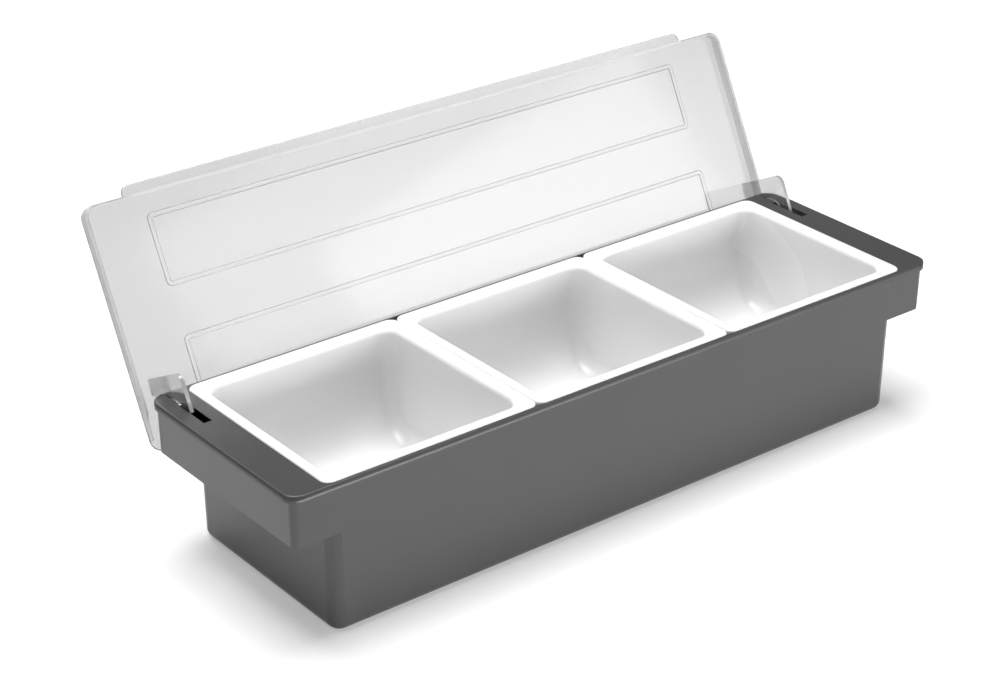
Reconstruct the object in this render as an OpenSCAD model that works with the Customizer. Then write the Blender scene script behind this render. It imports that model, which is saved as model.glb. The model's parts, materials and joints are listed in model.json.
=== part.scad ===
// Condiment caddy: a dark tub with end grips, lift-out pans and one clear lid on hooked arms.
// Origin at the bottom centre of the tub, X along its length, Y towards the hinge, Z up.
// The lid and its arms are drawn closed, then turned about the hinge axis to lean open.

/* [Overall] */
// Length over the flange, end to end
length = 500; // [440:1:640]
// Depth over the flange, front to back
depth = 150; // [130:1:190]
// Height of the deck above the table
height = 101; // [92:1:130]

/* [Tub] */
// Wall thickness of the tub and its skirts
tub_wall = 2.5; // [2:0.1:3.4]
// Thickness of the tub floor
tub_floor = 3; // [2:0.1:5]
// Taper of every upright wall of the tub, in degrees
tub_draft = 0.95; // [0.5:0.05:1.5]
// Corner radius of the tub body, seen from above
body_corner = 10; // [9:0.5:14]
// Radius along the bottom edge of the tub
bottom_edge = 6.5; // [3:0.5:7]
// Length of each end grip, from the tub wall to the outside of the skirt
grip_reach = 24.5; // [21:0.5:30]
// Height of the end skirts below the top of the deck
skirt_height = 34.3; // [28:0.1:50]
// How far the end skirts stand back from the front and back faces of the tub
skirt_step = 0.3; // [0.2:0.05:1]
// Corner radius of the end skirts
skirt_corner = 5; // [4:0.5:8]
// Stiffening ribs under the front half of each end deck
grip_ribs = 2; // [1:1:3]
// Depth of those ribs below the deck
grip_rib_drop = 14; // [6:1:20]
// Thickness of those ribs
grip_rib_wall = 2; // [1.5:0.1:3]

/* [Flange] */
// How far the flange stands out past the skirts and the tub walls
flange_out = 2.4; // [1.8:0.1:3.6]
// Height of the flange band
flange_band = 4.8; // [4:0.1:8]
// Thickness of the deck
deck = 3; // [2.4:0.1:4]
// Corner radius of the flange
flange_corner = 10; // [8:0.5:14]
// Radius on the top edge of the flange
flange_edge = 1; // [0.5:0.1:1.2]
// Width of the strip of flange left in front of and behind the pan rims
flange_strip = 2.1; // [1.6:0.1:2.6]
// How far the rebate for the pan rims reaches past the tub at each end
rebate_reach = 3; // [2.5:0.1:4]

/* [Pans] */
// Width of the rim of a pan, from its edge to where it rolls in
rim_flat = 5; // [4.4:0.1:6]
// Radius of the roll from rim to wall
rim_roll = 3.5; // [2:0.5:4]
// Thickness of the rim
rim_thick = 3.5; // [3.2:0.1:4.5]
// Corner radius of the rim
rim_corner = 6; // [3:0.5:8]
// Wall thickness of a pan
pan_wall = 2.5; // [1.8:0.1:2.8]
// Depth of a pan inside, from the top of the rim
pan_depth = 70; // [55:1:78]
// Radius from the front and back walls to the floor of a pan
pan_scoop = 28; // [15:1:34]
// Radius of the upright corners, and from the side walls to the floor
pan_corner = 10; // [6:0.5:12]
// How much narrower a pan is at its floor than at its mouth, on each side
pan_taper = 2.6; // [1:0.1:4]

/* [Lid] */
// Thickness of the lid panel
lid_panel = 2; // [1.6:0.1:2.3]
// Height of the top of the closed lid above the deck
lid_height = 8.3; // [8.2:0.1:12]
// Thickness of the lid's skirt
lid_skirt = 1.9; // [1.4:0.1:2]
// Corner radius of the lid
lid_corner = 8; // [6:0.5:10]
// Radius on the outer edge of the lid
lid_edge = 1.5; // [0.5:0.1:1.6]
// How far the finger lip stands out in front
lip_reach = 6.5; // [5.5:0.5:12]
// Distance from each end of the lid to the finger lip
lip_inset = 30; // [20:1:80]
// Corner radius of the finger lip
lip_corner = 5; // [2:0.5:5]
// Distance from each end of the lid to the beads
bead_inset = 41.5; // [36:0.5:80]
// Distance from the front edge of the lid to the front bead
bead_front = 13; // [11:0.5:18]
// Distance from the back edge of the lid to the back bead
bead_back = 15.4; // [12:0.1:18]
// Outside size of each bead rectangle, front to back
bead_span = 46; // [30:1:46]
// Corner radius of the beads, outside
bead_corner = 4; // [3.5:0.5:10]
// Width of a bead
bead_width = 3.4; // [2:0.1:3.4]
// Height of a bead above the panel
bead_rise = 1; // [0.5:0.1:1.6]

/* [Hinge] */
// Distance of the hinge axis from the back edge of the flange
axis_inset = 14.35; // [14:0.05:14.5]
// Depth of the hinge axis below the top of the deck
axis_drop = 14.2; // [14.1:0.1:15]
// Thickness of a hinge arm
arm_wall = 2.5; // [2:0.1:2.6]
// Distance from the end of the flange to the outer face of an arm
arm_inset = 10; // [9.8:0.1:10.4]
// Distance from the hinge axis to the front edge of an arm
arm_front = 28.7; // [27:0.1:30]
// Width of an arm where it meets the lid
arm_foot = 10.2; // [8:0.1:11]
// Depth of the foot of the hook below the hinge axis
arm_drop = 21.6; // [20:0.1:23]
// Radius of the outer corner of the hook
arm_corner = 6; // [4:0.5:7]
// Radius of the boss round the stub
boss_r = 6; // [5:0.1:7]
// Radius of the stub that the arm turns on
stub_r = 3; // [2.5:0.1:3.5]
// Width of the slots in the end decks
slot_width = 5.4; // [5.3:0.1:6]
// Thickness of the bearing ribs
bearing_wall = 2.2; // [1.8:0.1:2.4]
// Material round each bearing hole
bearing_collar = 4; // [3:0.5:5]

/* [Fits] */
// Gap between the pan rims and the rebate, and between two rims
rim_gap = 0.35; // [0.2:0.05:0.6]
// Gap beside the moving arms, under the closed lid and where the open lid leans
run_gap = 0.3; // [0.2:0.05:0.35]
// Radial clearance of the stub in its bearing
stub_gap = 0.05; // [0.02:0.01:0.1]
// Clearance of the hook and the lid skirt past the corners of the deck and the flange
swing_gap = 0.5; // [0.3:0.05:0.8]

/* [Hidden] */
$fn = 64;
pans = 3;
lap = 1;                     // overlap of solids that are fused into one piece, and of cuts
arc_steps = 8;               // straight steps in a quarter round of a wall profile
hull_fn = 40;                // facets in a full round of a pan's corners

// Tub
deck_under = height - deck;
skirt_len = length - 2 * flange_out;
body_dep = depth - 2 * flange_out;
skirt_dep = body_dep - 2 * skirt_step;
body_len = skirt_len - 2 * grip_reach;
body_inner = body_corner - tub_wall;
skirt_inner = skirt_corner - tub_wall;
inner_edge = max(1, bottom_edge - tub_wall);
skirt_foot = height - skirt_height;
rebate_len = body_len + 2 * rebate_reach;
rebate_dep = depth - 2 * flange_strip;
rebate_r = rim_corner + rim_gap;

// Pans
pan_len = (rebate_len - (pans + 1) * rim_gap) / pans;
pan_dep = rebate_dep - 2 * rim_gap;
rim_top = deck_under + rim_thick;
mouth_len = pan_len - 2 * (rim_flat + rim_roll);
mouth_dep = pan_dep - 2 * (rim_flat + rim_roll);

// Hinge, seen from the end: v is measured back and w up from the hinge axis
axis_y = depth / 2 - axis_inset;
axis_z = height - axis_drop;
arm_outer = length / 2 - arm_inset;
slot_outer = arm_outer + run_gap;
slot_back = 3.2;             // from the back end of the slot to the hinge axis
throat_r = norm([slot_back, axis_drop]) + swing_gap;
throat_w = arm_drop - 9.4;   // the neck of the hook is 9.4 deep
heel_r = 10.5;
heel_v = 3;
hook_reach = norm([arm_front - arm_corner, arm_drop - arm_corner]) + arm_corner;
slot_front = sqrt(pow(hook_reach, 2) - pow(axis_drop - deck, 2)) + swing_gap;
foot_w = axis_drop + lid_height - lid_panel;
foot_back = arm_front - arm_foot;

// Open lid: its back edge leans on the back wall of the tub
lean_r = norm([axis_inset, foot_w]);
lean_rise = atan2(foot_w, axis_inset);
function wall_y(z) = body_dep / 2 - (height - z) * tan(tub_draft);
function lean_fall(y) = acos((y + run_gap - axis_y) / lean_r);
first_fall = lean_fall(wall_y(skirt_foot));
open_angle = lean_rise + lean_fall(wall_y(axis_z - lean_r * sin(first_fall)));

// Lid
lid_top = height + lid_height;
skirt_bottom = height + run_gap;
flange_back = flange_corner - sqrt(pow(flange_corner, 2) - pow(flange_corner - lid_skirt, 2));
relief_r = norm([axis_inset - flange_back, axis_drop]) + swing_gap;

// Points of an arc about c, from angle a to angle b
function arc(c, r, a, b, n = arc_steps) =
    [for (i = [0:n]) c + r * [cos(a + (b - a) * i / n), sin(a + (b - a) * i / n)]];

// A 2D profile carried round a rounded rectangle; it is drawn with u outwards and z up,
// and u = 0 on the rectangle itself
module carry_round(len, dep, r) {
    for (sx = [0, 1], sy = [0, 1])
        mirror([sx, 0, 0])
            mirror([0, sy, 0])
                translate([len / 2 - r, dep / 2 - r, 0])
                    rotate_extrude(angle = 90)
                        translate([r, 0])
                            children();
    for (sx = [0, 1])
        mirror([sx, 0, 0])
            translate([len / 2, 0, 0])
                rotate([90, 0, 0])
                    linear_extrude(dep - 2 * r, center = true)
                        children();
    for (sy = [0, 1])
        mirror([0, sy, 0])
            translate([0, dep / 2, 0])
                rotate([90, 0, 90])
                    linear_extrude(len - 2 * r, center = true)
                        children();
}

// The same with the middle filled in; the profile starts at inner_u(r)
function inner_u(r) = lap / 2 - r;
module filled_round(len, dep, r, z0, z1) {
    half = [len / 2 - r + lap, dep / 2 - r + lap];
    carry_round(len, dep, r)
        children();
    translate([-half[0], -half[1], z0])
        cube([2 * half[0], 2 * half[1], z1 - z0]);
}

// A solid block with rounded upright corners; a drafted block has the size len by dep at
// the top of the deck, wherever the block itself ends
module block(len, dep, r, z0, z1, draft = 0, edge = 0) {
    in0 = (height - z0) * tan(draft);
    foot = [-in0 - edge * (1 - sin(draft)) / cos(draft), z0 + edge];
    filled_round(len, dep, r, z0, z1)
        polygon(concat([[inner_u(r), z1], [inner_u(r), z0]],
                       edge > 0 ? arc(foot, edge, -90, -draft) : [[-in0, z0]],
                       [[-(height - z1) * tan(draft), z1]]));
}

// The same on both ends
module both_ends() {
    children();
    mirror([1, 0, 0]) children();
}

// A flat shape drawn about the hinge axis, v to the right and w up, as a plate from x0 to x1
module hinge_plate(x0, x1) {
    translate([x0, axis_y, axis_z])
        rotate([90, 0, 90])
            linear_extrude(x1 - x0)
                children();
}

module flange_plate() {
    low = height - flange_band;
    in = inner_u(flange_corner);
    filled_round(length, depth, flange_corner, low, height)
        polygon(concat([[in, height], [in, low], [0, low]],
                       arc([-flange_edge, height - flange_edge], flange_edge, 0, 90)));
}

// Slot for the arm, and the ramp behind it that the open arm leans into
module arm_slot() {
    hinge_plate(slot_outer - slot_width, slot_outer)
        polygon([[-slot_front, axis_drop - deck - lap], [-slot_back, axis_drop - deck - lap],
                 [-slot_back, axis_drop + lap], [-slot_front, axis_drop + lap]]);
    rotate_about_axis(open_angle)
        hinge_plate(arm_outer - arm_wall - run_gap, slot_outer)
            hook_clearance();
}

// The arm's back edge, a little fuller, as it lies when the lid is open
module hook_clearance() {
    difference() {
        polygon([[-arm_front, foot_w], [-foot_back + run_gap, foot_w],
                 [-throat_r + run_gap, 0], [0, -throat_w / 2], [-arm_front, -throat_w / 2]]);
        circle(throat_r - run_gap);
    }
}

// Rib under the deck with the hole that the stub turns in
module bearing() {
    r = stub_r + stub_gap + bearing_collar;
    difference() {
        hinge_plate(slot_outer, slot_outer + bearing_wall) {
            circle(r);
            polygon([[-r, 0], [r, 0], [r + lap, axis_drop - deck + lap],
                     [-r - lap, axis_drop - deck + lap]]);
        }
        hinge_plate(slot_outer - lap, slot_outer + bearing_wall + lap)
            circle(stub_r + stub_gap);
    }
}

module grip_rib(y) {
    inner = body_len / 2 - tub_wall / 2;
    translate([inner, y - grip_rib_wall / 2, deck_under - grip_rib_drop])
        cube([skirt_len / 2 - tub_wall / 2 - inner - grip_rib_drop * tan(tub_draft),
              grip_rib_wall, grip_rib_drop + lap]);
}

module base_tub() {
    color("#565759")
        difference() {
            union() {
                difference() {
                    union() {
                        flange_plate();
                        block(skirt_len, skirt_dep, skirt_corner, skirt_foot,
                              height - deck / 2, tub_draft);
                    }
                    block(skirt_len - 2 * tub_wall, skirt_dep - 2 * tub_wall, skirt_inner,
                          skirt_foot - lap, deck_under, tub_draft);
                }
                block(body_len, body_dep, body_corner, 0, height - deck / 3, tub_draft,
                      bottom_edge);
                // Land under the rebate at each end
                translate([-rebate_len / 2 - deck, tub_wall / 2 - skirt_dep / 2,
                           deck_under - deck])
                    cube([rebate_len + 2 * deck, skirt_dep - tub_wall, 1.5 * deck]);
                both_ends() {
                    bearing();
                    for (i = [1:grip_ribs])
                        grip_rib(-i * skirt_dep / 2 / (grip_ribs + 1));
                }
            }
            block(body_len - 2 * tub_wall, body_dep - 2 * tub_wall, body_inner,
                  tub_floor, height + lap, tub_draft, inner_edge);
            block(rebate_len, rebate_dep, rebate_r, deck_under, height + lap);
            both_ends() arm_slot();
        }
}

// The hollow or the outside of a pan: a mouth above, and below it four rounded discs that
// give the deep scoop at front and back and the tighter round at the sides
module pan_form(grow) {
    scoop = pan_scoop + grow;
    round = pan_corner + grow;
    low_len = mouth_len / 2 - pan_taper + grow;
    low_dep = mouth_dep / 2 - pan_taper + grow;
    hull() {
        block(mouth_len + 2 * grow, mouth_dep + 2 * grow, round,
              rim_top - rim_roll, rim_top - rim_roll + 0.1, $fn = hull_fn);
        for (sx = [-1, 1], sy = [-1, 1])
            translate([sx * (low_len - round), sy * (low_dep - scoop),
                       rim_top - pan_depth - grow + scoop])
                rotate([0, 90, 0])
                    rotate_extrude($fn = hull_fn)
                        translate([scoop - round, 0])
                            circle(round, $fn = hull_fn);
    }
}

module insert(i) {
    open_r = pan_corner + rim_roll;
    color("#f4f4f2")
        translate([(i - (pans - 1) / 2) * (pan_len + rim_gap), 0, 0])
            difference() {
                union() {
                    block(pan_len, pan_dep, rim_corner, rim_top - rim_thick, rim_top);
                    pan_form(pan_wall);
                }
                pan_form(0);
                block(mouth_len, mouth_dep, pan_corner, rim_top - rim_roll, rim_top + lap);
                // Roll from the rim into the hollow
                carry_round(mouth_len + 2 * rim_roll, mouth_dep + 2 * rim_roll, open_r)
                    polygon(concat([[-rim_roll - lap, rim_top + lap],
                                    [-rim_roll - lap, rim_top - rim_roll]],
                                   arc([0, rim_top - rim_roll], rim_roll, 180, 90),
                                   [[0, rim_top + lap]]));
            }
}

// Turns about the hinge axis: positive opens the lid
module rotate_about_axis(a) {
    translate([0, axis_y, axis_z])
        rotate([-a, 0, 0])
            translate([0, -axis_y, -axis_z])
                children();
}

module bead(y) {
    translate([0, y, lid_top])
        carry_round(length - 2 * bead_inset, bead_span, bead_corner)
            polygon(concat([[-bead_width, -lid_panel / 2]],
                           [for (p = arc([0, 0], 1, 180, 0, 2 * arc_steps))
                               [(p[0] - 1) * bead_width / 2, p[1] * bead_rise]],
                           [[0, -lid_panel / 2]]));
}

module finger_lip() {
    half = length / 2 - lip_inset;
    back = -depth / 2 + lid_corner;
    block_dep = lip_reach + lid_corner;
    translate([0, back - block_dep / 2, 0])
        block(2 * half, block_dep, lip_corner, lid_top - lid_panel, lid_top);
}

module lid() {
    under = lid_top - lid_panel;
    in = inner_u(lid_corner);
    color("#dfe6e8")
        rotate_about_axis(open_angle)
            difference() {
                union() {
                    filled_round(length, depth, lid_corner, under, lid_top)
                        polygon(concat([[in, lid_top], [in, under], [-lid_skirt, under],
                                        [-lid_skirt, skirt_bottom], [0, skirt_bottom]],
                                       arc([-lid_edge, lid_top - lid_edge], lid_edge, 0, 90)));
                    bead(bead_front + bead_span / 2 - depth / 2);
                    bead(depth / 2 - bead_back - bead_span / 2);
                    finger_lip();
                }
                // The skirt stops before the back corners, and is relieved to swing past the flange
                translate([-length / 2 - lap, depth / 2 - lid_corner, skirt_bottom - lap])
                    cube([length + 2 * lap, lid_corner + lap, under - skirt_bottom + lap]);
                hinge_plate(-length / 2 - lap, length / 2 + lap) {
                    circle(relief_r);
                    square([axis_inset + lap, relief_r]);
                }
            }
}

// Outline of a hinge arm about the hinge axis, lid closed
module hook() {
    difference() {
        union() {
            // bar through the deck
            polygon([[-arm_front, foot_w], [-foot_back, foot_w], [-throat_r, 0],
                     [-heel_v, -throat_w], [-heel_v, -arm_drop],
                     [arm_corner - arm_front, -arm_drop],
                     [arm_corner - arm_front, arm_corner - arm_drop],
                     [-arm_front, arm_corner - arm_drop]]);
            translate([arm_corner - arm_front, arm_corner - arm_drop]) circle(arm_corner);
            translate([-heel_v, heel_r - arm_drop]) circle(heel_r);
        }
        // throat that the deck lies in when the lid is open
        difference() {
            circle(throat_r);
            translate([-throat_r - lap, -throat_r - lap])
                square([2 * throat_r + 2 * lap, throat_r + lap - throat_w]);
        }
    }
    circle(boss_r);
    polygon([[-boss_r * 0.8, 0], [boss_r, 0], [heel_r - heel_v, -throat_w],
             [heel_r - heel_v - lap, -throat_w - lap], [-boss_r * 0.8, -throat_w - lap]]);
}

module hinge_arm() {
    color("#e4eaec")
        rotate_about_axis(open_angle) {
            hinge_plate(arm_outer - arm_wall, arm_outer) hook();
            hinge_plate(arm_outer - lap, slot_outer + bearing_wall) circle(stub_r);
        }
}

module insert_left() insert(0);
module insert_centre() insert(1);
module insert_right() insert(2);
module hinge_arm_left() mirror([1, 0, 0]) hinge_arm();
module hinge_arm_right() hinge_arm();

base_tub();
insert_left();
insert_centre();
insert_right();
lid();
hinge_arm_left();
hinge_arm_right();
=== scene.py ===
# %% [markdown]
# # A condiment caddy with a flip lid
#
# The real object stands on a bar: a long tub moulded in dark ABS, white pans that hang in it by
# their rims, and one clear lid whose two hooked arms go through slots in the end decks.
# The CAD model is the frame. It gives the place and size of every piece, and this lesson
# dresses it: softened moulded edges, hand-modelled pans, and a material for each plastic.

import json
import math

import bmesh
import bpy
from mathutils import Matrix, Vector


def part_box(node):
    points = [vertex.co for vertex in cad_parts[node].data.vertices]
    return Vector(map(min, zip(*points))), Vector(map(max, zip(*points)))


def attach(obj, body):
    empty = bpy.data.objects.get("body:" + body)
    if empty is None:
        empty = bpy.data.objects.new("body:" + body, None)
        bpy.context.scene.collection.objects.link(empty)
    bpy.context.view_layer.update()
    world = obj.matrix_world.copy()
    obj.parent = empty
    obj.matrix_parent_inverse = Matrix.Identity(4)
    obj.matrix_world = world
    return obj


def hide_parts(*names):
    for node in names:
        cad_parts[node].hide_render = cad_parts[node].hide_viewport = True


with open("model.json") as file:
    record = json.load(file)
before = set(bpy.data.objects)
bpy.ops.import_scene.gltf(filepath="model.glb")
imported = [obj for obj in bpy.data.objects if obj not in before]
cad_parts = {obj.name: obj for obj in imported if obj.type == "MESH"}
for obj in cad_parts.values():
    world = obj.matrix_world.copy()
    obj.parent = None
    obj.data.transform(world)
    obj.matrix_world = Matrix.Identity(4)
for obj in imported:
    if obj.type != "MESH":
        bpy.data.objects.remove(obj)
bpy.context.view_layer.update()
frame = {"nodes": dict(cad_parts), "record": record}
MM = 0.001
print("nodes:", sorted(frame["nodes"]))

# %% [markdown]
# ## The camera
#
# The photograph looks down on the caddy from its front left corner with a long lens, so the
# far end is hardly smaller than the near one. Position, turn and focal length come from
# lining up the caddy's long straight edges with the CAD model.

# %% Camera
deck_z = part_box("base_tub")[1].z
bpy.ops.object.camera_add(
    location=(-0.8654, -1.0413, deck_z + 0.6676),
    rotation=(math.radians(90 - 26.78), 0, math.radians(-38.14)),
)
camera = bpy.context.object
camera.name = "camera"
camera.data.sensor_width = 36
camera.data.lens = 88.02
bpy.context.scene.camera = camera
print("camera at", [round(v, 3) for v in camera.location])

# %% [markdown]
# ## Softened copies of the moulded pieces
#
# A mould never leaves a knife edge: its corners are eased by a few tenths of a millimetre, and
# that small radius is what catches the light along an edge. The CAD solids have sharp edges,
# and the nodes themselves are kept unchanged and hidden. The CAD solids have sharp edges, and a
# frame node may not be changed. So each piece is copied, its loose triangles are merged and
# dissolved into whole faces, and a bevel modifier eases every edge that is sharper than the
# rounded forms. Smooth shading would pull the normals of the wide flat faces towards the narrow
# eased ones and leave blotches, so the normals are set here: a wide face keeps its own, a
# narrow one beside it turns into it, and the steps of the rounded forms are averaged.

# %% Copy a node and ease its edges
def select_only(obj):
    """Makes obj the one selected and active object."""
    bpy.ops.object.select_all(action="DESELECT")
    obj.select_set(True)
    bpy.context.view_layer.objects.active = obj


def finish_with(obj, name, kind, **settings):
    """Adds a modifier with its settings and applies it."""
    select_only(obj)
    modifier = obj.modifiers.new(name, kind)
    for key, value in settings.items():
        setattr(modifier, key, value)
    bpy.ops.object.modifier_apply(modifier=modifier.name)


def keep_flats_flat(piece, narrow_mm=2.3, soft_deg=35):
    """Smooth shading that leaves wide faces flat; narrow faces turn into them."""
    mesh = piece.data
    bpy.ops.object.shade_smooth()
    is_wide, around = {}, [[] for _ in mesh.vertices]
    for face in mesh.polygons:
        outline = sum(
            (mesh.vertices[a].co - mesh.vertices[b].co).length for a, b in face.edge_keys
        )
        is_wide[face.index] = 2 * face.area / outline > narrow_mm * MM
        for v in face.vertices:
            around[v].append(face)
    least = math.cos(math.radians(soft_deg))
    normals = []
    for face in mesh.polygons:
        for v in face.vertices:
            near = [f for f in around[v] if f.normal.dot(face.normal) > least]
            wide = [f for f in near if is_wide[f.index]]
            if is_wide[face.index] or not near:
                normals.append(face.normal.copy())
            elif wide:
                normals.append(max(wide, key=lambda f: f.area).normal.copy())
            else:
                normals.append(sum((f.normal * f.area for f in near), Vector()).normalized())
    mesh.normals_split_custom_set(normals)


SAME_POINT, SAME_PLANE = 0.002 * MM, math.radians(0.5)


def eased_copy(node, name, edge_mm, sharp_deg=40, segments=2):
    """A merged copy of a CAD node with its sharp edges bevelled; it takes the node's place."""
    source = frame["nodes"][node]
    piece = bpy.data.objects.new(name, source.data.copy())
    bpy.context.scene.collection.objects.link(piece)
    select_only(piece)
    bpy.ops.object.mode_set(mode="EDIT")
    bpy.ops.mesh.select_all(action="SELECT")
    bpy.ops.mesh.remove_doubles(threshold=SAME_POINT)
    bpy.ops.mesh.dissolve_limited(angle_limit=SAME_PLANE)
    bpy.ops.object.mode_set(mode="OBJECT")
    piece.data.materials.clear()
    finish_with(
        piece, "eased edges", "BEVEL", width=edge_mm * MM, segments=segments,
        limit_method="ANGLE", angle_limit=math.radians(sharp_deg),
        miter_outer="MITER_ARC", use_clamp_overlap=True,
    )
    keep_flats_flat(piece)
    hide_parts(node)
    print(f"{name}: {len(piece.data.polygons)} faces, edges eased by {edge_mm} mm")
    return piece


tub = eased_copy("base_tub", "tub", 0.35)
arms = [eased_copy("hinge_arm_" + side, "arm_" + side, 0.3) for side in ("left", "right")]

# %% [markdown]
# The flange of the tub ends in a soft roll: on the photo a bright line runs along its top
# edge, a dark one below it, and a fainter bright one where the roll turns under. It leaves
# no sharp edge where hands take hold. The exact model has an upright band with a small
# round on top, so only the normals are bent: over the height of the band they turn from
# level to upwards, as they would on a roll.

# %% The roll of the flange
BAND, FLANGE_ROUND, FLANGE_CORNER = 4.8 * MM, 1 * MM, 10 * MM
ROLL_TILT = math.radians(40)
tub_low, tub_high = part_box("base_tub")


def is_outside_of_flange(piece, face):
    """Is this a face on the outside of the flange's band or of its round?"""
    x, y, _ = face.center
    core_x, core_y = tub_high.x - FLANGE_CORNER, tub_high.y - FLANGE_CORNER
    core = Vector((max(-core_x, min(core_x, x)), max(-core_y, min(core_y, y)), 0))
    out = Vector((x, y, 0)) - core
    lowest = min(piece.data.vertices[v].co.z for v in face.vertices)
    return (
        lowest > tub_high.z - BAND - 0.4 * MM
        and out.length > FLANGE_CORNER - 1.2 * MM
        and face.normal.dot(out) > 0.01 * out.length
        and face.normal.z > -0.1
    )


def roll_the_flange(piece):
    """Turns the normals over the height of the band from level to upwards."""
    mesh = piece.data
    normals = [corner.vector.copy() for corner in mesh.corner_normals]
    low, high = tub_high.z - BAND, tub_high.z - FLANGE_ROUND
    bent = 0
    for face in mesh.polygons:
        if not is_outside_of_flange(piece, face):
            continue
        for loop in face.loop_indices:
            height = mesh.vertices[mesh.loops[loop].vertex_index].co.z
            level = Vector((normals[loop].x, normals[loop].y, 0)).normalized()
            share = max(0.0, min(1.0, (height - low) / (high - low)))
            tilt = max(ROLL_TILT * share, math.asin(min(1, normals[loop].z)))
            normals[loop] = level * math.cos(tilt) + Vector((0, 0, math.sin(tilt)))
            bent += 1
    mesh.normals_split_custom_set(normals)
    print("normals bent on the flange:", bent)


roll_the_flange(tub)

# %% Pick faces, edges and points by their place
def pick(obj, kind, test):
    """In edit mode, selects the verts, edges or faces of obj that pass the test, no others."""
    bpy.ops.mesh.select_mode(type={"verts": "VERT", "edges": "EDGE", "faces": "FACE"}[kind])
    bpy.ops.mesh.select_all(action="DESELECT")
    mesh = bmesh.from_edit_mesh(obj.data)
    count = 0
    for item in getattr(mesh, kind):
        if test(item):
            item.select_set(True)
            count += 1
    mesh.select_flush_mode()
    bmesh.update_edit_mesh(obj.data)
    return count


def middle(item):
    """The middle of an edge or a face."""
    return sum((v.co for v in item.verts), Vector()) / len(item.verts)


# %% [markdown]
# ## Nodes and colours
#
# Colours are written as the hex values that a colour picker shows, and one function turns
# them to the linear values that the shader works in. One small function adds a node.

# %% Helpers for materials
def linear(hex_colour):
    """An sRGB hex colour as linear RGBA."""
    parts = [int(hex_colour[i : i + 2], 16) / 255 for i in (1, 3, 5)]
    return [c / 12.92 if c <= 0.04045 else ((c + 0.055) / 1.055) ** 2.4 for c in parts] + [1]


def add_node(material, kind, links=(), **settings):
    """Adds a node, sets its settings or input values, and links (output, input name) pairs."""
    node = material.node_tree.nodes.new(kind)
    for name, value in settings.items():
        if hasattr(node, name):
            setattr(node, name, value)
        else:
            node.inputs[name.replace("_", " ")].default_value = value
    for output, socket in links:
        material.node_tree.links.new(output, node.inputs[socket])
    return node


def new_material(name):
    """A material with an empty node tree but for its output."""
    material = bpy.data.materials.new(name)
    material.use_nodes = True
    material.node_tree.nodes.clear()
    material.node_tree.nodes.new("ShaderNodeOutputMaterial")
    return material


def to_surface(material, output):
    """Links a shader to the material's surface."""
    out = next(n for n in material.node_tree.nodes if n.type == "OUTPUT_MATERIAL")
    material.node_tree.links.new(output, out.inputs["Surface"])
    return material


# %% [markdown]
# ## Moulded ABS for the tub
#
# ABS comes out of a mould with the finish of the tool. On a caddy the tool is lightly
# blasted, so the dark plastic has a fine satin grain that spreads its reflections and
# breaks up along them. The grain is a noise of about 0.7 mm with a very faint bump, as the
# real grain is finer than the photo shows, and the roughness wanders a little where hands
# have polished it.

# %% Material: dark moulded ABS
def moulded_abs():
    material = new_material("moulded_abs_satin")
    place = add_node(material, "ShaderNodeTexCoord")
    grain_per_m = 1 / (0.7 * MM)
    grain = add_node(
        material, "ShaderNodeTexNoise", [(place.outputs["Object"], "Vector")],
        Scale=grain_per_m, Detail=2.0, Roughness=0.6,
    )
    cloud = add_node(
        material, "ShaderNodeTexNoise", [(place.outputs["Object"], "Vector")],
        Scale=14.0, Detail=3.0, Roughness=0.5,
    )
    gloss = add_node(
        material, "ShaderNodeMapRange", [(cloud.outputs["Fac"], "Value")],
        From_Min=0.3, From_Max=0.7, To_Min=0.3, To_Max=0.35,
    )
    tint = add_node(
        material, "ShaderNodeMix", [(cloud.outputs["Fac"], "Factor")], data_type="RGBA",
    )
    tint.inputs["A"].default_value = linear("#3A3A3B")
    tint.inputs["B"].default_value = linear("#3F3F40")
    bump = add_node(
        material, "ShaderNodeBump", [(grain.outputs["Fac"], "Height")],
        Strength=0.03, Distance=0.05 * MM,
    )
    shader = add_node(
        material, "ShaderNodeBsdfPrincipled",
        [
            (tint.outputs["Result"], "Base Color"),
            (gloss.outputs["Result"], "Roughness"),
            (bump.outputs["Normal"], "Normal"),
        ],
        IOR=1.54,
    )
    return to_surface(material, shader.outputs["BSDF"])


# %% [markdown]
# ## Moulded polypropylene for the pans
#
# Food pans are injection moulded in white polypropylene: a slightly waxy plastic, smooth
# enough to carry soft reflections of the lamps down the curved front and into the corners.
# A little light goes into it, which a small subsurface weight gives.

# %% Material: white polypropylene
def moulded_polypropylene():
    material = new_material("moulded_polypropylene_white")
    place = add_node(material, "ShaderNodeTexCoord")
    flow = add_node(
        material, "ShaderNodeTexNoise", [(place.outputs["Object"], "Vector")],
        Scale=9.0, Detail=2.0, Roughness=0.4,
    )
    gloss = add_node(
        material, "ShaderNodeMapRange", [(flow.outputs["Fac"], "Value")],
        From_Min=0.3, From_Max=0.7, To_Min=0.22, To_Max=0.28,
    )
    orange_peel = add_node(
        material, "ShaderNodeTexNoise", [(place.outputs["Object"], "Vector")],
        Scale=1 / (4 * MM), Detail=1.0, Roughness=0.5,
    )
    bump = add_node(
        material, "ShaderNodeBump", [(orange_peel.outputs["Fac"], "Height")],
        Strength=0.1, Distance=0.04 * MM,
    )
    shader = add_node(
        material, "ShaderNodeBsdfPrincipled",
        [(gloss.outputs["Result"], "Roughness"), (bump.outputs["Normal"], "Normal")],
        Base_Color=linear("#E4E4E4"), IOR=1.49, Subsurface_Weight=0.7, Subsurface_Scale=5 * MM,
        Subsurface_Radius=(1.0, 1.0, 1.0),
    )
    return to_surface(material, shader.outputs["BSDF"])


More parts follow.
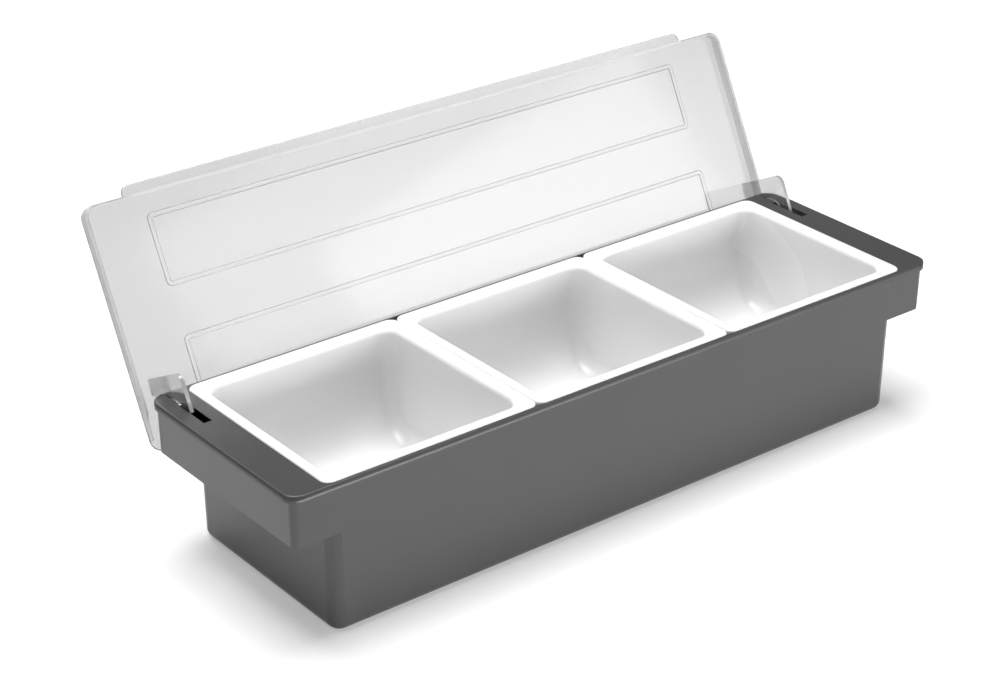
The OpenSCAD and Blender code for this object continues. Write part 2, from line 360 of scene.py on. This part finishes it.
# %% [markdown]
# ## Clear polycarbonate for the lid and its arms
#
# The lid is moulded in clear polycarbonate. Faces let nearly all light through, and edges,
# beads and corners bend it so that they draw thin grey and white lines. On the photo the
# sheet is a few levels darker than the white behind it, hence the light grey tint. A faint
# texture in the tool keeps fingerprints from showing and makes the sheet shimmer.

# %% Material: clear polycarbonate
def clear_polycarbonate():
    material = new_material("clear_polycarbonate")
    place = add_node(material, "ShaderNodeTexCoord")
    ripple = add_node(
        material, "ShaderNodeTexNoise", [(place.outputs["Object"], "Vector")],
        Scale=1 / (2.5 * MM), Detail=2.0, Roughness=0.6,
    )
    bump = add_node(
        material, "ShaderNodeBump", [(ripple.outputs["Fac"], "Height")],
        Strength=0.15, Distance=0.04 * MM,
    )
    shader = add_node(
        material, "ShaderNodeBsdfPrincipled", [(bump.outputs["Normal"], "Normal")],
        Base_Color=linear("#C2C2C2"), Roughness=0.08, IOR=1.585, Transmission_Weight=0.93,
    )
    path = add_node(material, "ShaderNodeLightPath")
    lets_lamps_through = add_node(
        material, "ShaderNodeBsdfTransparent", Color=linear("#F2F2F2"),
    )
    mix = add_node(
        material, "ShaderNodeMixShader",
        [
            (path.outputs["Is Shadow Ray"], 0),
            (shader.outputs["BSDF"], 1),
            (lets_lamps_through.outputs["BSDF"], 2),
        ],
    )
    return to_surface(material, mix.outputs["Shader"])


# %% [markdown]
# The edges of a clear moulding draw dark lines, where they bend the darker room behind into
# view. Here that shade is painted: the edge faces get a grey base colour and let less of the
# light straight through. On the lid that is the rounded edge, the skirt and the flanks of the
# beads, on an arm its outline. The parting line of the tool also leaves them duller than the
# polished faces: a fine drag mark as roughness, a few tenths of a millimetre wide, where the
# tool closes.

# %% Material: grey edges of the clear plastic, with painted shade
def clear_polycarbonate_edge():
    material = new_material("clear_polycarbonate_edge")
    place = add_node(material, "ShaderNodeTexCoord")
    drag = add_node(
        material, "ShaderNodeTexNoise", [(place.outputs["Object"], "Vector")],
        Scale=1 / (0.4 * MM), Detail=1.0, Roughness=0.5,
    )
    dull = add_node(
        material, "ShaderNodeMapRange", [(drag.outputs["Fac"], "Value")],
        To_Min=0.15, To_Max=0.25,
    )
    # The grey base colour and the lower transmission paint shade along the edges.
    shader = add_node(
        material, "ShaderNodeBsdfPrincipled", [(dull.outputs["Result"], "Roughness")],
        Base_Color=linear("#C6C6C6"), IOR=1.585, Transmission_Weight=0.6,
    )
    return to_surface(material, shader.outputs["BSDF"])


# %% Give each piece its plastic
abs_plastic = moulded_abs()
pan_plastic = moulded_polypropylene()
clear_plastic = clear_polycarbonate()
# The edge plastic paints shade: its grey stands in for the dark lines that clear edges draw.
painted_edge_shade = clear_polycarbonate_edge()


def dress(piece, material, body):
    """The piece gets its material and the body it moves with."""
    if not piece.data.materials:
        piece.data.materials.append(material)
    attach(piece, body)


dress(tub, abs_plastic, "tub")
for arm in arms:
    dress(arm, clear_plastic, "flip_lid")

# %% [markdown]
# ## The pans
#
# Each pan is one thin moulded shell. Its front and back run down into the floor in a wide
# scoop, so that a spoon reaches everything. Its upright corners have a small radius, its
# walls lean out a little so that it leaves the mould, and at the top the wall rolls over
# into a flat rim with a short lip that rests on the ledge of the tub.
#
# It could be a lofted curve or a sculpted form. Here it starts as a cube of the size of the
# hollow, because each feature is then one operator that a reader can repeat by hand: drop
# the lid of the cube, narrow its bottom, bevel two edges for the scoop, bevel the two end
# outlines for the corners, roll the top edge out, bridge it to the outline of the rim, and
# give the skin its thickness.

# %% Sizes of a pan
pan_low, pan_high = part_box("insert_centre")
RIM_FLAT, RIM_ROLL, RIM_DEPTH = 5 * MM, 3.5 * MM, 3.5 * MM
RIM_CORNER, RIM_EDGE = 6 * MM, 0.9 * MM
PAN_WALL, PAN_DEPTH, PAN_TAPER = 2.5 * MM, 70 * MM, 2.6 * MM
SCOOP, UPRIGHT_CORNER = 28 * MM, 10 * MM
pan_size = pan_high - pan_low
pan_middle = (pan_high + pan_low) / 2
mouth_x = pan_size.x - 2 * (RIM_FLAT + RIM_ROLL)
mouth_y = pan_size.y - 2 * (RIM_FLAT + RIM_ROLL)
rim_z = pan_high.z
floor_z = rim_z - PAN_DEPTH
wall_top = rim_z - RIM_ROLL
print("mouth of a pan in mm:", round(mouth_x / MM, 1), "by", round(mouth_y / MM, 1))


# %% Scale about the middle of a pan
def spread(factor_x, factor_y):
    """Scales the selection along X and Y about the middle of the pan."""
    bpy.ops.transform.resize(
        value=(factor_x, factor_y, 1), center_override=(pan_middle.x, pan_middle.y, 0),
    )


# %% The hollow of a pan
bpy.ops.object.select_all(action="DESELECT")
bpy.ops.mesh.primitive_cube_add(
    size=1, location=(pan_middle.x, pan_middle.y, (wall_top + floor_z) / 2),
    scale=(mouth_x, mouth_y, wall_top - floor_z),
)
pan = bpy.context.object
pan.name = "pan_centre"
bpy.ops.object.transform_apply(location=True, rotation=True, scale=True)
bpy.ops.object.mode_set(mode="EDIT")
pick(pan, "faces", lambda f: f.normal.z > 0.9)
bpy.ops.mesh.delete(type="FACE")
pick(pan, "verts", lambda v: v.co.z < floor_z + MM)
spread((mouth_x - 2 * PAN_TAPER) / mouth_x, (mouth_y - 2 * PAN_TAPER) / mouth_y)
scoops = pick(
    pan, "edges",
    lambda e: middle(e).z < floor_z + MM and abs(middle(e).y - pan_middle.y) > mouth_y / 3,
)
bpy.ops.mesh.bevel(offset=SCOOP, segments=20, affect="EDGES")
outlines = pick(
    pan, "edges",
    lambda e: len(e.link_faces) == 2
    and sum(abs(f.normal.x) > 0.9 for f in e.link_faces) == 1,
)
bpy.ops.mesh.bevel(offset=UPRIGHT_CORNER, segments=10, affect="EDGES")
bpy.ops.mesh.flip_normals()
bpy.ops.mesh.select_all(action="SELECT")
bpy.ops.mesh.remove_doubles(threshold=0.01 * MM)
bpy.ops.object.mode_set(mode="OBJECT")
print("scoop edges:", scoops, "outline edges:", outlines, "faces:", len(pan.data.polygons))

# %% [markdown]
# The roll is a quarter turn from the wall to the rim. Each step extrudes the open edge,
# spreads it and lifts it. Then a plane with rounded corners gives the outline of the rim,
# and a bridge joins the two outlines.

# %% The roll and the rim
ROLL_STEPS = 6
bpy.ops.object.mode_set(mode="EDIT")


def on_top_edge(edge):
    """True for an edge with a free side at the highest point that the skin has reached."""
    return len(edge.link_faces) < 2 and abs(middle(edge).z - reached) < 0.01 * MM


reached, out = wall_top, 0.0
for step in range(1, ROLL_STEPS + 1):
    turn = math.radians(90 * step / ROLL_STEPS)
    pick(pan, "edges", on_top_edge)
    rise = wall_top + RIM_ROLL * math.sin(turn) - reached
    new_out = RIM_ROLL * (1 - math.cos(turn))
    bpy.ops.mesh.extrude_edges_move(TRANSFORM_OT_translate={"value": (0, 0, rise)})
    spread(
        (mouth_x + 2 * new_out) / (mouth_x + 2 * out),
        (mouth_y + 2 * new_out) / (mouth_y + 2 * out),
    )
    reached, out = reached + rise, new_out

pick(pan, "edges", on_top_edge)
corner_steps = len([e for e in bmesh.from_edit_mesh(pan.data).edges if e.select]) // 4 - 1
bpy.ops.mesh.primitive_plane_add(size=1, location=(pan_middle.x, pan_middle.y, rim_z))
bpy.ops.transform.resize(
    value=(pan_size.x, pan_size.y, 1), center_override=(pan_middle.x, pan_middle.y, rim_z),
)
bpy.ops.mesh.bevel(offset=RIM_CORNER, segments=corner_steps, affect="VERTICES")
pick(pan, "faces", lambda f: len(f.verts) > 20 and middle(f).z > rim_z - 0.01 * MM)
bpy.ops.mesh.delete(type="ONLY_FACE")
pick(pan, "edges", on_top_edge)
bpy.ops.mesh.bridge_edge_loops()
pick(
    pan, "edges",
    lambda e: e.is_boundary and abs(middle(e).z - rim_z) < 0.01 * MM,
)
bpy.ops.mesh.extrude_edges_move(TRANSFORM_OT_translate={"value": (0, 0, -RIM_DEPTH)})
pick(
    pan, "edges",
    lambda e: not e.is_boundary
    and abs(middle(e).z - rim_z) < 0.01 * MM
    and any(abs(f.normal.z) < 0.1 for f in e.link_faces)
    and any(abs(f.normal.z) > 0.9 for f in e.link_faces),
)
bpy.ops.mesh.bevel(offset=RIM_EDGE, segments=4, affect="EDGES")
bpy.ops.mesh.select_all(action="SELECT")
bpy.ops.mesh.remove_doubles(threshold=0.01 * MM)
bpy.ops.mesh.normals_make_consistent(inside=False)
bpy.ops.object.mode_set(mode="OBJECT")
upward = sum(f.area * f.normal.z for f in pan.data.polygons)
print("corner steps:", corner_steps, "net upward area in cm2:", round(upward * 1e4, 1))

# %% [markdown]
# The skin so far is the side that one sees. Solidify adds the 2.5 mm of plastic behind it,
# a small bevel eases the lip, and weighted normals keep the flat walls flat between the
# rounded corners.

# %% Thickness, eased lip and clean shading
finish_with(
    pan, "wall thickness", "SOLIDIFY", thickness=PAN_WALL, offset=-1, use_even_offset=True,
)
finish_with(
    pan, "eased lip", "BEVEL", width=0.3 * MM, segments=2, limit_method="ANGLE",
    angle_limit=math.radians(60),
)
bpy.ops.object.shade_smooth()
finish_with(pan, "flat walls", "WEIGHTED_NORMAL", weight=80, keep_sharp=True)
print("pan:", len(pan.data.polygons), "faces")
print("box of a pan in mm:", [round(v / MM, 1) for v in pan.dimensions])

# %% Three pans
pans = {"centre": pan}
for side in ("left", "right"):
    copy = pan.copy()
    copy.data = pan.data.copy()
    copy.name = "pan_" + side
    bpy.context.scene.collection.objects.link(copy)
    select_only(copy)
    bpy.ops.transform.translate(value=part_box("insert_" + side)[0] - pan_low)
    bpy.ops.object.transform_apply(location=True, rotation=True, scale=True)
    pans[side] = copy
for side, piece in pans.items():
    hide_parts("insert_" + side)
    dress(piece, pan_plastic, "pan_" + side)

# %% [markdown]
# ## The lid
#
# The lid is one clear moulding: a sheet 2 mm thick with a rounded edge, a skirt that laps
# over the flange on three sides, two long raised beads that keep the sheet from sagging, and
# a finger lip along the front. The beads and the skirt are what the eye sees of it, so
# their rounds need clean, even faces.
#
# It is modelled lying closed, where every size is plain, and then turned about the hinge to
# where it leans. The skin is built from outlines: planes with rounded corners, inset in steps
# that rise and fall. Fill closes the sheet between the outlines. Two booleans then add
# the finger lip and cut the skirt away where it swings past the flange.

# %% Sizes of the lid
hinge = next(j for j in frame["record"]["behaviour"]["joints"] if j["name"] == "lid_hinge")
axis_at = Vector(hinge["pos_m"])
OPEN_TURN = math.radians(-hinge["range_deg"][0])
LID_RISE, SHEET, SKIRT_WALL, SKIRT_GAP = 8.3 * MM, 2 * MM, 1.9 * MM, 0.3 * MM
LID_CORNER, LID_EDGE = 8 * MM, 1.5 * MM
BEAD_WIDTH, BEAD_RISE, BEAD_CORNER, BEAD_SPAN = 3.4 * MM, 1 * MM, 4 * MM, 46 * MM
BEAD_INSET, BEAD_FRONT, BEAD_BACK = 41.5 * MM, 13 * MM, 15.4 * MM
LIP_REACH, LIP_INSET, LIP_CORNER = 6.5 * MM, 30 * MM, 5 * MM
lid_x, lid_y = tub_high.x - tub_low.x, tub_high.y - tub_low.y
lid_top = tub_high.z + LID_RISE
skirt_bottom = tub_high.z + SKIRT_GAP
print("the lid opens by", round(math.degrees(OPEN_TURN), 2), "degrees about", hinge["pos_m"])


# %% A rounded outline
def rounded_plane(place, size_x, size_y, corner, steps):
    """In edit mode, adds a flat face with rounded corners and leaves only it selected."""
    bpy.ops.mesh.select_all(action="DESELECT")
    bpy.ops.mesh.primitive_plane_add(size=1, location=place)
    bpy.ops.transform.resize(value=(size_x, size_y, 1), center_override=place)
    bpy.ops.mesh.bevel(offset=corner, segments=steps, affect="VERTICES")


def inset_steps(rises_and_widths):
    """Insets the selected face in steps, each with its width and its rise."""
    for width, rise in rises_and_widths:
        bpy.ops.mesh.inset(thickness=width, depth=rise)


def quarter_round(radius, steps):
    """Widths and rises of the steps of a quarter round, from upright to flat."""
    turns = [math.radians(90 * i / steps) for i in range(steps + 1)]
    return [
        (radius * (math.cos(a) - math.cos(b)), radius * (math.sin(b) - math.sin(a)))
        for a, b in zip(turns, turns[1:])
    ]


def arch(width, rise, steps):
    """Widths and rises of the steps over a half-round bead."""
    turns = [math.radians(180 * i / steps) for i in range(steps + 1)]
    return [
        (width / 2 * (math.cos(a) - math.cos(b)), rise * (math.sin(b) - math.sin(a)))
        for a, b in zip(turns, turns[1:])
    ]


# %% The skin of the lid
bpy.ops.object.select_all(action="DESELECT")
bpy.ops.mesh.primitive_plane_add(size=lid_x, location=(0, 0, lid_top - LID_EDGE))
lid = bpy.context.object
lid.name = "clear_lid"
bpy.ops.object.transform_apply(location=True, rotation=True, scale=True)
bpy.ops.object.mode_set(mode="EDIT")
bpy.ops.transform.resize(value=(1, lid_y / lid_x, 1), center_override=(0, 0, 0))
bpy.ops.mesh.bevel(offset=LID_CORNER, segments=10, affect="VERTICES")
inset_steps(quarter_round(LID_EDGE, 5))
bpy.ops.mesh.delete(type="ONLY_FACE")
bead_y = (
    BEAD_FRONT + BEAD_SPAN / 2 - lid_y / 2,
    lid_y / 2 - BEAD_BACK - BEAD_SPAN / 2,
)
for y in bead_y:
    rounded_plane((0, y, lid_top), lid_x - 2 * BEAD_INSET, BEAD_SPAN, BEAD_CORNER, 6)
    inset_steps(arch(BEAD_WIDTH, BEAD_RISE, 10))
pick(
    lid, "edges",
    lambda e: len(e.link_faces) < 2 and abs(middle(e).z - lid_top) < 0.01 * MM,
)
bpy.ops.mesh.fill(use_beauty=False)
pick(
    lid, "edges",
    lambda e: len(e.link_faces) < 2 and abs(middle(e).z - (lid_top - LID_EDGE)) < 0.01 * MM,
)
bpy.ops.mesh.extrude_edges_move(
    TRANSFORM_OT_translate={"value": (0, 0, skirt_bottom - lid_top + LID_EDGE)},
)
rounded_plane(
    (0, 0, skirt_bottom), lid_x - 2 * SKIRT_WALL, lid_y - 2 * SKIRT_WALL,
    LID_CORNER - SKIRT_WALL, 10,
)
bpy.ops.mesh.delete(type="ONLY_FACE")
pick(
    lid, "edges",
    lambda e: len(e.link_faces) < 2 and abs(middle(e).z - skirt_bottom) < 0.01 * MM,
)
bpy.ops.mesh.bridge_edge_loops()
pick(
    lid, "edges",
    lambda e: len(e.link_faces) < 2 and abs(middle(e).z - skirt_bottom) < 0.01 * MM,
)
bpy.ops.mesh.extrude_edges_move(
    TRANSFORM_OT_translate={"value": (0, 0, lid_top - SHEET - skirt_bottom)},
)
bpy.ops.mesh.edge_face_add()
bpy.ops.mesh.select_all(action="SELECT")
bpy.ops.mesh.remove_doubles(threshold=0.005 * MM)
bpy.ops.mesh.normals_make_consistent(inside=False)
bpy.ops.object.mode_set(mode="OBJECT")
print("lid skin:", len(lid.data.polygons), "faces")

# %% The finger lip, and room for the swing
bpy.ops.object.select_all(action="DESELECT")
bpy.ops.mesh.primitive_cube_add(
    size=1, location=(0, -lid_y / 2 + (LID_CORNER - LIP_REACH) / 2, lid_top - SHEET / 2),
    scale=(lid_x - 2 * LIP_INSET, LIP_REACH + LID_CORNER, SHEET),
)
lip = bpy.context.object
bpy.ops.object.transform_apply(location=True, rotation=True, scale=True)
bpy.ops.object.mode_set(mode="EDIT")
pick(
    lip, "edges",
    lambda e: abs(e.verts[0].co.z - e.verts[1].co.z) > MM and middle(e).y < -lid_y / 2,
)
bpy.ops.mesh.bevel(offset=LIP_CORNER, segments=8, affect="EDGES")
pick(
    lip, "edges",
    lambda e: abs(e.verts[0].co.z - e.verts[1].co.z) < 0.01 * MM
    and any(abs(f.normal.z) < 0.1 for f in e.link_faces)
    and any(abs(f.normal.z) > 0.9 for f in e.link_faces)
    and middle(e).y < -lid_y / 2,
)
bpy.ops.mesh.bevel(offset=0.6 * MM, segments=3, affect="EDGES")
bpy.ops.object.mode_set(mode="OBJECT")

flange_back = FLANGE_CORNER - math.sqrt(
    FLANGE_CORNER ** 2 - (FLANGE_CORNER - SKIRT_WALL) ** 2
)
swing_reach = math.hypot(tub_high.y - axis_at.y - flange_back, tub_high.z - axis_at.z)
SWING_ROOM = 0.5 * MM
bpy.ops.object.select_all(action="DESELECT")
bpy.ops.mesh.primitive_cylinder_add(
    vertices=96, radius=swing_reach + SWING_ROOM, depth=lid_x + 10 * MM,
    location=axis_at, rotation=(0, math.radians(90), 0),
)
swing = bpy.context.object
bpy.ops.object.transform_apply(location=True, rotation=True, scale=True)
back_z = axis_at.z + swing_reach + SWING_ROOM
bpy.ops.mesh.primitive_cube_add(
    size=1, location=(0, axis_at.y + 10 * MM, (axis_at.z + back_z) / 2),
    scale=(lid_x + 8 * MM, 20 * MM, back_z - axis_at.z),
)
behind = bpy.context.object
bpy.ops.object.transform_apply(location=True, rotation=True, scale=True)
bpy.ops.mesh.primitive_cube_add(
    size=1, location=(0, lid_y / 2, (skirt_bottom + lid_top - SHEET) / 2 - MM),
    scale=(lid_x + 6 * MM, 2 * LID_CORNER, lid_top - SHEET - skirt_bottom + 2 * MM),
)
back_strip = bpy.context.object
bpy.ops.object.transform_apply(location=True, rotation=True, scale=True)
for tool, operation in (
    (lip, "UNION"), (swing, "DIFFERENCE"), (behind, "DIFFERENCE"), (back_strip, "DIFFERENCE"),
):
    finish_with(lid, "join or cut", "BOOLEAN", object=tool, operation=operation, solver="EXACT")
    bpy.data.objects.remove(tool)
print("lid after booleans:", len(lid.data.polygons), "faces")

# %% [markdown]
# The polished faces of the lid and of its arms get the clear plastic, and their edges the
# grey one with its painted shade. On the closed lid the edges are easy to tell by their place:
# all that lies below the sheet, the rounded edge of the sheet, and the flanks of the beads.
# On an arm, which is a flat plate, they are the faces that don't look along the caddy.

# %% Clear plastic, and grey edge plastic with painted shade
EDGE_ZONE = 1.6 * MM


def clear_and_painted_edge_shade(piece, is_edge):
    """Clear plastic on the piece, and the grey edge plastic with painted shade on the faces
    that pass.
    """
    piece.data.materials.clear()
    piece.data.materials.append(clear_plastic)
    piece.data.materials.append(painted_edge_shade)
    for face in piece.data.polygons:
        # Faces that pass get the grey plastic that paints shade along the edges.
        face.material_index = int(is_edge(face))
    print(piece.name, "edge faces:", sum(f.material_index for f in piece.data.polygons))


def is_lid_edge(face):
    """For the closed lid: skirt, rounded edge of the sheet, or flank of a bead."""
    x, y, z = face.center
    below_sheet = z < lid_top - SHEET - 0.01 * MM
    on_flank = z > lid_top + 0.02 * MM and face.normal.z < 0.85
    at_side = abs(x) > lid_x / 2 - EDGE_ZONE or abs(y) > lid_y / 2 - EDGE_ZONE
    return below_sheet or on_flank or (at_side and abs(face.normal.z) < 0.99)


clear_and_painted_edge_shade(lid, is_lid_edge)
for arm in arms:
    clear_and_painted_edge_shade(arm, lambda face: abs(face.normal.x) < 0.5)

# %% [markdown]
# The closed lid is now turned open about the hinge. With no window the rotate operator turns
# the other way from the one on the screen, so its box is printed beside the box of the
# CAD lid.

# %% Lean the lid open
select_only(lid)
bpy.ops.object.mode_set(mode="EDIT")
bpy.ops.mesh.select_all(action="SELECT")
bpy.ops.transform.rotate(value=OPEN_TURN, orient_axis="X", center_override=axis_at)
bpy.ops.object.mode_set(mode="OBJECT")
bpy.ops.object.shade_smooth_by_angle(angle=math.radians(32))
finish_with(lid, "flat sheet", "WEIGHTED_NORMAL", weight=80, keep_sharp=True)
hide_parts("lid")
dress(lid, clear_plastic, "flip_lid")
lid_low, lid_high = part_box("lid")
box = [Vector(corner) for corner in lid.bound_box]
print("CAD lid in mm:", [round(v / MM, 1) for v in (*lid_low, *lid_high)])
print("this lid in mm:", [round(v / MM, 1) for v in (*box[0], *box[6])])

# %% [markdown]
# ## Floor and world
#
# The photograph is lit as a catalogue shot on a white sweep. The floor is plain white paper.
# It adds a little light of its own for the camera and for what mirrors it, so that it reads
# as pure white but still takes the caddy's soft shadow. That light rises with the distance,
# as the lamps fade there and a real sweep would curve up into the light. Around stands a
# white wall with a dark roof above it, which the gloss of the tub mirrors.

# %% Floor and world
def seen_straight_or_through(owner):
    """1 for rays from the camera and those that clear plastic sends on, else 0."""
    path = add_node(owner, "ShaderNodeLightPath")
    return add_node(
        owner, "ShaderNodeMath",
        [(path.outputs["Is Camera Ray"], 0), (path.outputs["Is Transmission Ray"], 1)],
        operation="MAXIMUM",
    ).outputs[0]


def seen_or_mirrored(owner):
    """1 for those rays and for the ones that a gloss mirrors, else 0."""
    path = add_node(owner, "ShaderNodeLightPath")
    return add_node(
        owner, "ShaderNodeMath",
        [(seen_straight_or_through(owner), 0), (path.outputs["Is Glossy Ray"], 1)],
        operation="MAXIMUM",
    ).outputs[0]


FLOOR_LIFT = 0.3
LIFT_STARTS, LIFT_FULL = 0.8, 1.8
bpy.ops.mesh.primitive_plane_add(size=12, location=(0, 0, 0))
floor = bpy.context.object
floor.name = "floor"
paper = new_material("white_paper_sweep")
spot = add_node(paper, "ShaderNodeTexCoord")
away = add_node(
    paper, "ShaderNodeVectorMath", [(spot.outputs["Object"], 0)], operation="LENGTH",
)
far_lift = add_node(
    paper, "ShaderNodeMapRange", [(away.outputs["Value"], "Value")],
    From_Min=LIFT_STARTS, From_Max=LIFT_FULL, To_Min=FLOOR_LIFT, To_Max=1.0,
)
lift = add_node(
    paper, "ShaderNodeMapRange",
    [(seen_or_mirrored(paper), "Value"), (far_lift.outputs["Result"], "To Max")],
    To_Min=0.0,
)
own_light = add_node(
    paper, "ShaderNodeEmission", [(lift.outputs["Result"], "Strength")], Color=(1, 1, 1, 1),
)
matt = add_node(paper, "ShaderNodeBsdfDiffuse", Color=linear("#E0E0E0"))
both = add_node(
    paper, "ShaderNodeAddShader",
    [(matt.outputs["BSDF"], 0), (own_light.outputs["Emission"], 1)],
)
to_surface(paper, both.outputs["Shader"])
floor.data.materials.append(paper)

WORLD_LIGHT, DARK_ROOF = 0.04, 0.08
world = bpy.data.worlds.new("studio")
bpy.context.scene.world = world
world.use_nodes = True
world.node_tree.nodes.clear()
direction = add_node(world, "ShaderNodeTexCoord")
parts = add_node(world, "ShaderNodeSeparateXYZ", [(direction.outputs["Generated"], 0)])
white_wall = add_node(
    world, "ShaderNodeMapRange", [(parts.outputs["Z"], "Value")],
    From_Min=0.1, From_Max=0.3, To_Min=1.0, To_Max=DARK_ROOF,
)
level = add_node(
    world, "ShaderNodeMapRange",
    [(seen_or_mirrored(world), "Value"), (white_wall.outputs["Result"], "To Max")],
    To_Min=WORLD_LIGHT,
)
sky = add_node(
    world, "ShaderNodeBackground", [(level.outputs["Result"], "Strength")], Color=(1, 1, 1, 1),
)
add_node(world, "ShaderNodeOutputWorld", [(sky.outputs["Background"], "Surface")])


# %% [markdown]
# ## Lamps
#
# One broad soft lamp hangs above the caddy. A long low one in front lights the floor that
# the front wall mirrors. Small ones at the back and near the left end draw the sheen on the
# end deck and light the right walls of the pans, and one on the right lifts the shadow
# there. The lean of the lid mirrors a large soft lamp far out on the right, with a smaller
# one in front of its middle, which makes the bright patch on the sheet fade out softly.

# %% Lamps
def softbox(name, place, aim, width, height, watts):
    """A rectangular lamp that points from its place to its aim."""
    bpy.ops.object.light_add(type="AREA", location=place)
    lamp = bpy.context.object
    lamp.name = name
    lamp.data.shape = "RECTANGLE"
    lamp.data.size = width
    lamp.data.size_y = height
    lamp.data.energy = watts
    lamp.rotation_euler = (Vector(aim) - Vector(place)).to_track_quat("-Z", "Y").to_euler()
    return lamp


CADDY_MIDDLE = (0, 0, 0.07)
softbox("top_softbox", (0.0, 0.3, 2.0), CADDY_MIDDLE, 1.6, 1.2, 55)
softbox("near_left_softbox", (-0.8, 0.1, 0.85), (-0.05, 0, 0.07), 0.5, 0.5, 1.2)
softbox("back_softbox", (-0.15, 1.1, 0.82), CADDY_MIDDLE, 0.6, 0.4, 3.2)
softbox("edge_softbox", (0.95, -0.5, 1.3), CADDY_MIDDLE, 0.5, 0.5, 1.4)
softbox("lid_softbox", (1.25, -1.45, 0.76), CADDY_MIDDLE, 1.0, 0.75, 3.2)
softbox("lid_core_softbox", (1.22, -1.42, 0.76), CADDY_MIDDLE, 0.55, 0.4, 1.2)
softbox("low_front_softbox", (0.0, -1.8, 0.22), CADDY_MIDDLE, 2.4, 0.36, 30)

scene = bpy.context.scene
scene.view_settings.view_transform = "Standard"
